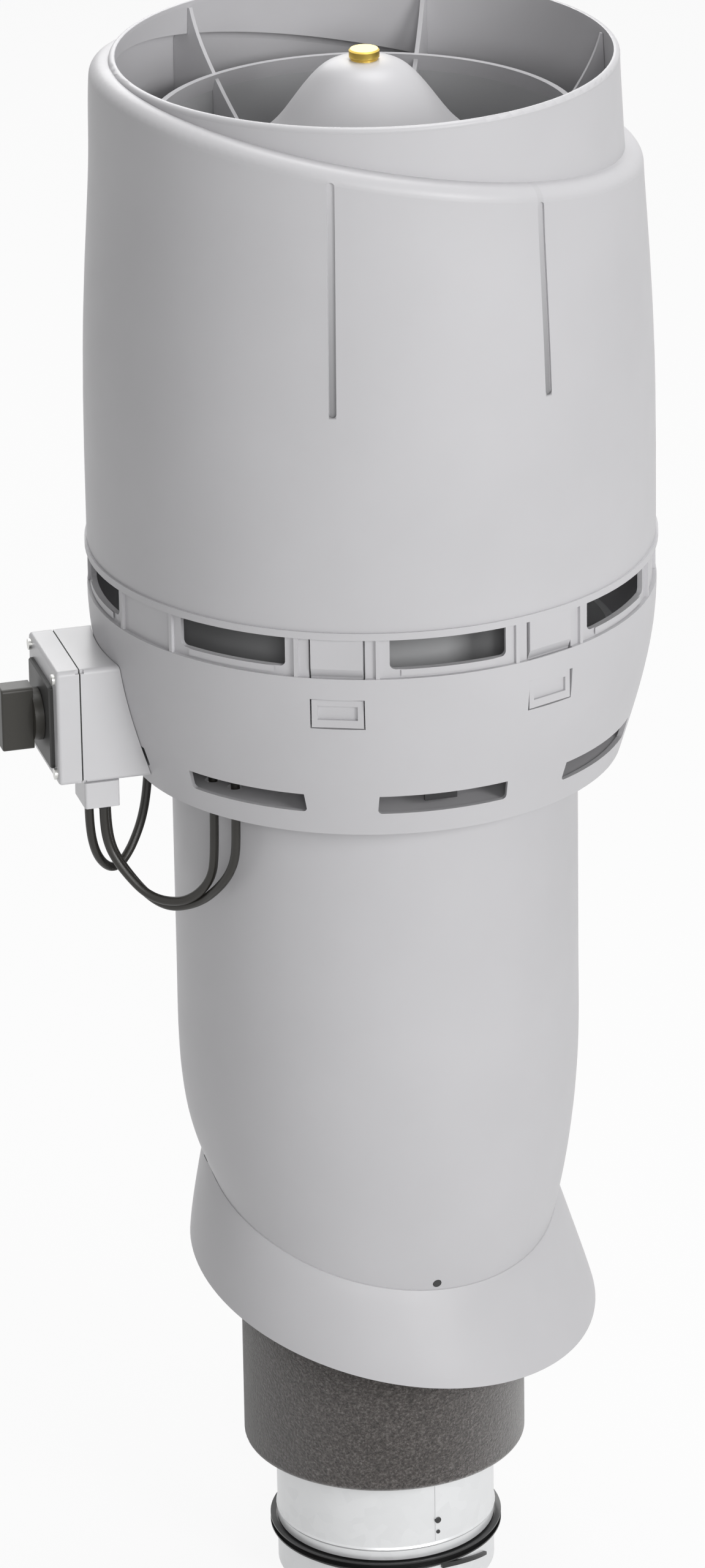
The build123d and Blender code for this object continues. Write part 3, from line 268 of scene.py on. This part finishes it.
materials = {
    "grey_plastic": plastic("grey_plastic", (0.545, 0.54, 0.555), 0.42),
    "box_plastic": plastic("box_plastic", (0.62, 0.617, 0.63), 0.3, 0.03),
    "dark_plastic": plastic("dark_plastic", (0.04, 0.04, 0.039), 0.45),
    "knob_plastic": plastic("knob_plastic", (0.028, 0.026, 0.021), 0.42),
    "galvanised": galvanised("galvanised"),
    "black_steel": plastic("black_steel", (0.02, 0.02, 0.022), 0.35),
    "core_steel": metal("core_steel", (0.42, 0.42, 0.43), 0.35, stretch=(1, 1, 12)),
    "screw_steel": metal("screw_steel", (0.62, 0.62, 0.60), 0.3),
    "dark_screw": plastic("dark_screw", (0.03, 0.03, 0.03), 0.4),
    "yellow_metal": metal("yellow_metal", (0.83, 0.60, 0.14), 0.3, 0.06),
    "foam": foam("foam"),
    "black_rubber": rubber("black_rubber", (0.012, 0.012, 0.012), 0.32),
    "cable_sheath": rubber("cable_sheath", (0.018, 0.0165, 0.0135), 0.36),
}


def groove_painted_shade_plastic(name):
    """The grey plastic with painted shade in each groove, darker towards its foot, where a groove is
    deepest.
    """
    material = materials["grey_plastic"].copy()
    material.name = name
    tree = material.node_tree
    shader = tree.nodes["Principled BSDF"]
    color = shader.inputs["Base Color"].links[0].from_socket
    height = along(tree, (0, 0, 1))
    painted_shade_fade = value_range(tree, height, GROOVE_PAINTED_DARKNESS, 0, GROOVE_FOOT, GROOVE_FADE)
    above_foot = value_range(tree, height, 0, 1, GROOVE_FOOT - GROOVE_END, GROOVE_FOOT)
    painted_shade_fade = calculate(tree, "MULTIPLY", painted_shade_fade, above_foot)
    for angle in GROOVE_ANGLES:
        side = calculate(tree, "ABSOLUTE", along(tree, polar(1, angle + 90)))
        strip = value_range(tree, side, 1, 0, GROOVE_HALF_WIDTH - GROOVE_EDGE, GROOVE_HALF_WIDTH)
        reach = along(tree, polar(1, angle))
        outside = value_range(tree, reach, 0, 1, GROOVE_FLOOR - GROOVE_END, GROOVE_FLOOR)
        amount = calculate(tree, "MULTIPLY", calculate(tree, "MULTIPLY", strip, outside), painted_shade_fade)
        # Painted shade: the colour is mixed towards a dark shade colour inside the groove's strip
        mix = tree.nodes.new("ShaderNodeMixRGB")
        mix.inputs["Color2"].default_value = GROOVE_PAINTED_SHADE
        tree.links.new(amount, mix.inputs["Fac"])
        tree.links.new(color, mix.inputs["Color1"])
        color = mix.outputs["Color"]
    tree.links.new(color, shader.inputs["Base Color"])
    return material


# Every solid shows with its slot's material and smooth round faces
for part in frame["record"]["subparts"]:
    mesh = nodes[part["node"]].data
    mesh.materials.clear()
    mesh.materials.append(materials[part["material_slot"]])
    mesh.polygons.foreach_set("use_smooth", [True] * len(mesh.polygons))
    mesh.set_sharp_from_angle(angle=radians(28))

# The housing is a lighter grey than the other dark pieces, and the hood has painted shade in its grooves
nodes["fan_housing"].data.materials[0] = plastic("housing_plastic", (0.42, 0.423, 0.43), 0.8)
nodes["hood"].data.materials[0] = groove_painted_shade_plastic("groove_painted_shade_plastic")


# Trim on the duct: two rivets on its seam and the loose end of its seal
def trim(name, vertices, faces, slot):
    """A small piece that rides with the fan's body."""
    mesh = bpy.data.meshes.new(name)
    mesh.from_pydata(vertices, [], faces)
    mesh.materials.append(materials[slot])
    obj = bpy.data.objects.new(name, mesh)
    link(obj)
    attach(obj, "fan_body")
    mesh.polygons.foreach_set("use_smooth", [True] * len(mesh.polygons))
    mesh.set_sharp_from_angle(angle=radians(40))


def rivet(name, z, size):
    """A flat round head that stands on the duct's seam."""
    vertices = []
    for radius, share in ((RIVET_LOW, 1.0), (RIVET_HIGH, 1.0), (RIVET_TOP, 0.8)):
        for step in range(RIVET_SIDES):
            angle = radians(360 / RIVET_SIDES * step)
            side, up = size * share * cos(angle), size * share * sin(angle)
            vertices.append(polar(radius, SEAM_ANGLE, z + up) + polar(side, SEAM_ANGLE + 90))
    faces = [tuple(range(2 * RIVET_SIDES, 3 * RIVET_SIDES)), tuple(reversed(range(RIVET_SIDES)))]
    for row in (0, RIVET_SIDES):
        above = row + RIVET_SIDES
        for step in range(RIVET_SIDES):
            after = (step + 1) % RIVET_SIDES
            faces.append((row + step, row + after, above + after, above + step))
    trim(name, vertices, faces, "dark_screw")


def strap(name, first, last, z_first, z_last):
    """The seal's loose end: a strip against the duct that drops and narrows from one azimuth to another."""
    vertices, faces = [], []
    for step in range(STRAP_STEPS + 1):
        share = step / STRAP_STEPS
        azimuth = first + (last - first) * share
        z = z_first + (z_last - z_first) * share**1.3
        half = STRAP_HEIGHT / 2 * (1 - 0.35 * share)
        vertices.append(polar(STRAP_INSIDE, azimuth, z - half))
        vertices.append(polar(STRAP_OUTSIDE, azimuth, z - half))
        vertices.append(polar(STRAP_OUTSIDE, azimuth, z + half))
        vertices.append(polar(STRAP_INSIDE, azimuth, z + half))
    for here in range(0, 4 * STRAP_STEPS, 4):
        for side in range(4):
            after = (side + 1) % 4
            faces.append((here + side, here + 4 + side, here + 4 + after, here + after))
    end = 4 * STRAP_STEPS
    faces += [(0, 1, 2, 3), (end + 3, end + 2, end + 1, end)]
    trim(name, vertices, faces, "black_rubber")


rivet("seam_rivet_upper", 0.0494, 0.0019)
rivet("seam_rivet_lower", 0.0420, 0.0012)
strap("seal_end", -60, -26, 0.0195, 0.0125)


# Cables: the same routes as the solids, as smooth hanging curves
def cable(name, points):
    """A cable on a route, in place of its solid tube."""
    curve = bpy.data.curves.new(name, "CURVE")
    curve.dimensions = "3D"
    spline = curve.splines.new("NURBS")
    spline.points.add(len(points) - 1)
    for point, place in zip(spline.points, points):
        point.co = (*place, 1)
    spline.order_u = 3
    spline.use_endpoint_u = True
    spline.resolution_u = 12
    curve.bevel_depth = CABLE_DIAMETER / 2
    curve.bevel_resolution = 8
    curve.use_fill_caps = True
    curve.materials.append(materials["cable_sheath"])
    obj = bpy.data.objects.new(name + "_look", curve)
    link(obj)
    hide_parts(name)
    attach(obj, "fan_body")


cable(
    "cable_a",
    [
        (-0.1563, -0.0633, 0.4980),
        (-0.1563, -0.0633, 0.4875),
        (-0.1546, -0.0616, 0.4734),
        (-0.1511, -0.0579, 0.4632),
        (-0.1458, -0.0524, 0.4564),
        (-0.1407, -0.0470, 0.4565),
        (-0.1371, -0.0432, 0.4603),
        (-0.1337, -0.0396, 0.4656),
        (-0.1298, -0.0356, 0.4746),
        (-0.1274, -0.0331, 0.4833),
        (-0.1257, -0.0313, 0.4935),
        (-0.1243, -0.0299, 0.5090),
        (-0.1235, -0.0290, 0.5355),
        (-0.1235, -0.0290, 0.5610),
    ],
)
cable(
    "cable_b",
    [
        (-0.1482, -0.0654, 0.4980),
        (-0.1482, -0.0654, 0.4876),
        (-0.1462, -0.0661, 0.4758),
        (-0.1419, -0.0677, 0.4673),
        (-0.1356, -0.0700, 0.4591),
        (-0.1279, -0.0728, 0.4513),
        (-0.1201, -0.0757, 0.4476),
        (-0.1117, -0.0787, 0.4471),
        (-0.1043, -0.0814, 0.4489),
        (-0.0975, -0.0839, 0.4538),
        (-0.0923, -0.0858, 0.4604),
        (-0.0893, -0.0869, 0.4675),
        (-0.0882, -0.0873, 0.4756),
        (-0.0877, -0.0875, 0.4895),
        (-0.0875, -0.0876, 0.5120),
        (-0.0880, -0.0874, 0.5370),
        (-0.0880, -0.0874, 0.5610),
    ],
)
cable(
    "cable_c",
    [
        (-0.1471, -0.0568, 0.4980),
        (-0.1471, -0.0568, 0.4864),
        (-0.1452, -0.0578, 0.4728),
        (-0.1407, -0.0604, 0.4641),
        (-0.1341, -0.0643, 0.4559),
        (-0.1269, -0.0670, 0.4479),
        (-0.1192, -0.0707, 0.4432),
        (-0.1113, -0.0739, 0.4418),
        (-0.1022, -0.0778, 0.4446),
        (-0.0942, -0.0820, 0.4497),
        (-0.0867, -0.0900, 0.4591),
        (-0.0808, -0.0952, 0.4686),
        (-0.0773, -0.0972, 0.4773),
        (-0.0759, -0.0980, 0.4861),
        (-0.0756, -0.0982, 0.5012),
        (-0.0754, -0.0984, 0.5180),
        (-0.0758, -0.0981, 0.5400),
        (-0.0758, -0.0981, 0.5610),
    ],
)


# World and floor: both show white to the camera, and light the object at a plain level
def seen_directly(tree):
    """1 for rays from the camera, in reflections and through glass, else 0."""
    path = tree.nodes.new("ShaderNodeLightPath")
    shown = calculate(tree, "MAXIMUM", path.outputs["Is Camera Ray"], path.outputs["Is Glossy Ray"])
    return calculate(tree, "MAXIMUM", shown, path.outputs["Is Transmission Ray"])


def mixed(tree, amount, first, second, output):
    """Two shaders mixed by an amount, on a tree's output."""
    mix = tree.nodes.new("ShaderNodeMixShader")
    tree.links.new(amount, mix.inputs["Fac"])
    tree.links.new(first, mix.inputs[1])
    tree.links.new(second, mix.inputs[2])
    tree.links.new(mix.outputs["Shader"], tree.nodes[output].inputs["Surface"])


world = bpy.data.worlds.new("world")
bpy.context.scene.world = world
world.use_nodes = True
world_tree = world.node_tree
soft = world_tree.nodes["Background"]
soft.inputs["Color"].default_value = (1, 1, 1, 1)
soft.inputs["Strength"].default_value = 0.25
white = world_tree.nodes.new("ShaderNodeBackground")
white.inputs["Color"].default_value = (1, 1, 1, 1)
mixed(
    world_tree,
    seen_directly(world_tree),
    soft.outputs["Background"],
    white.outputs["Background"],
    "World Output",
)

floor_mesh = bpy.data.meshes.new("floor")
signs = ((-1, -1), (1, -1), (1, 1), (-1, 1))
corners = [(FLOOR_HALF * x, FLOOR_HALF * y, FLOOR_Z) for x, y in signs]
floor_mesh.from_pydata(corners, [], [(0, 1, 2, 3)])
floor = bpy.data.objects.new("floor", floor_mesh)
link(floor)
floor_material, floor_tree, floor_shader = new_material("floor")
floor_shader.inputs["Base Color"].default_value = (0.75, 0.75, 0.75, 1)
floor_shader.inputs["Roughness"].default_value = 0.8
glow = floor_tree.nodes.new("ShaderNodeEmission")
part_white = floor_tree.nodes.new("ShaderNodeMath")
part_white.operation = "MULTIPLY"
part_white.inputs[1].default_value = FLOOR_WHITE
floor_tree.links.new(seen_directly(floor_tree), part_white.inputs[0])
mixed(
    floor_tree,
    part_white.outputs["Value"],
    floor_shader.outputs["BSDF"],
    glow.outputs["Emission"],
    "Material Output",
)
floor_mesh.materials.append(floor_material)


def lamp(name, place, target, size, power):
    """A square area lamp that faces a point."""
    data = bpy.data.lights.new(name, "AREA")
    data.size = size
    data.energy = power
    obj = bpy.data.objects.new(name, data)
    link(obj)
    aim = (Vector(target) - Vector(place)).to_track_quat("-Z", "Y")
    obj.matrix_world = Matrix.Translation(place) @ aim.to_matrix().to_4x4()


lamp("key", (2.4, -2.9, 1.9), (0, 0, 0.45), 1.4, 72)
lamp("front", (0.35, -3.6, 1.9), (0, 0, 0.45), 1.0, 28)
lamp("top", (0.35, 0.5, 3.2), (0, 0, 0.6), 1.4, 42)
lamp("back", (-0.5, 2.8, 2.2), (0, 0, 0.5), 1.6, 24)
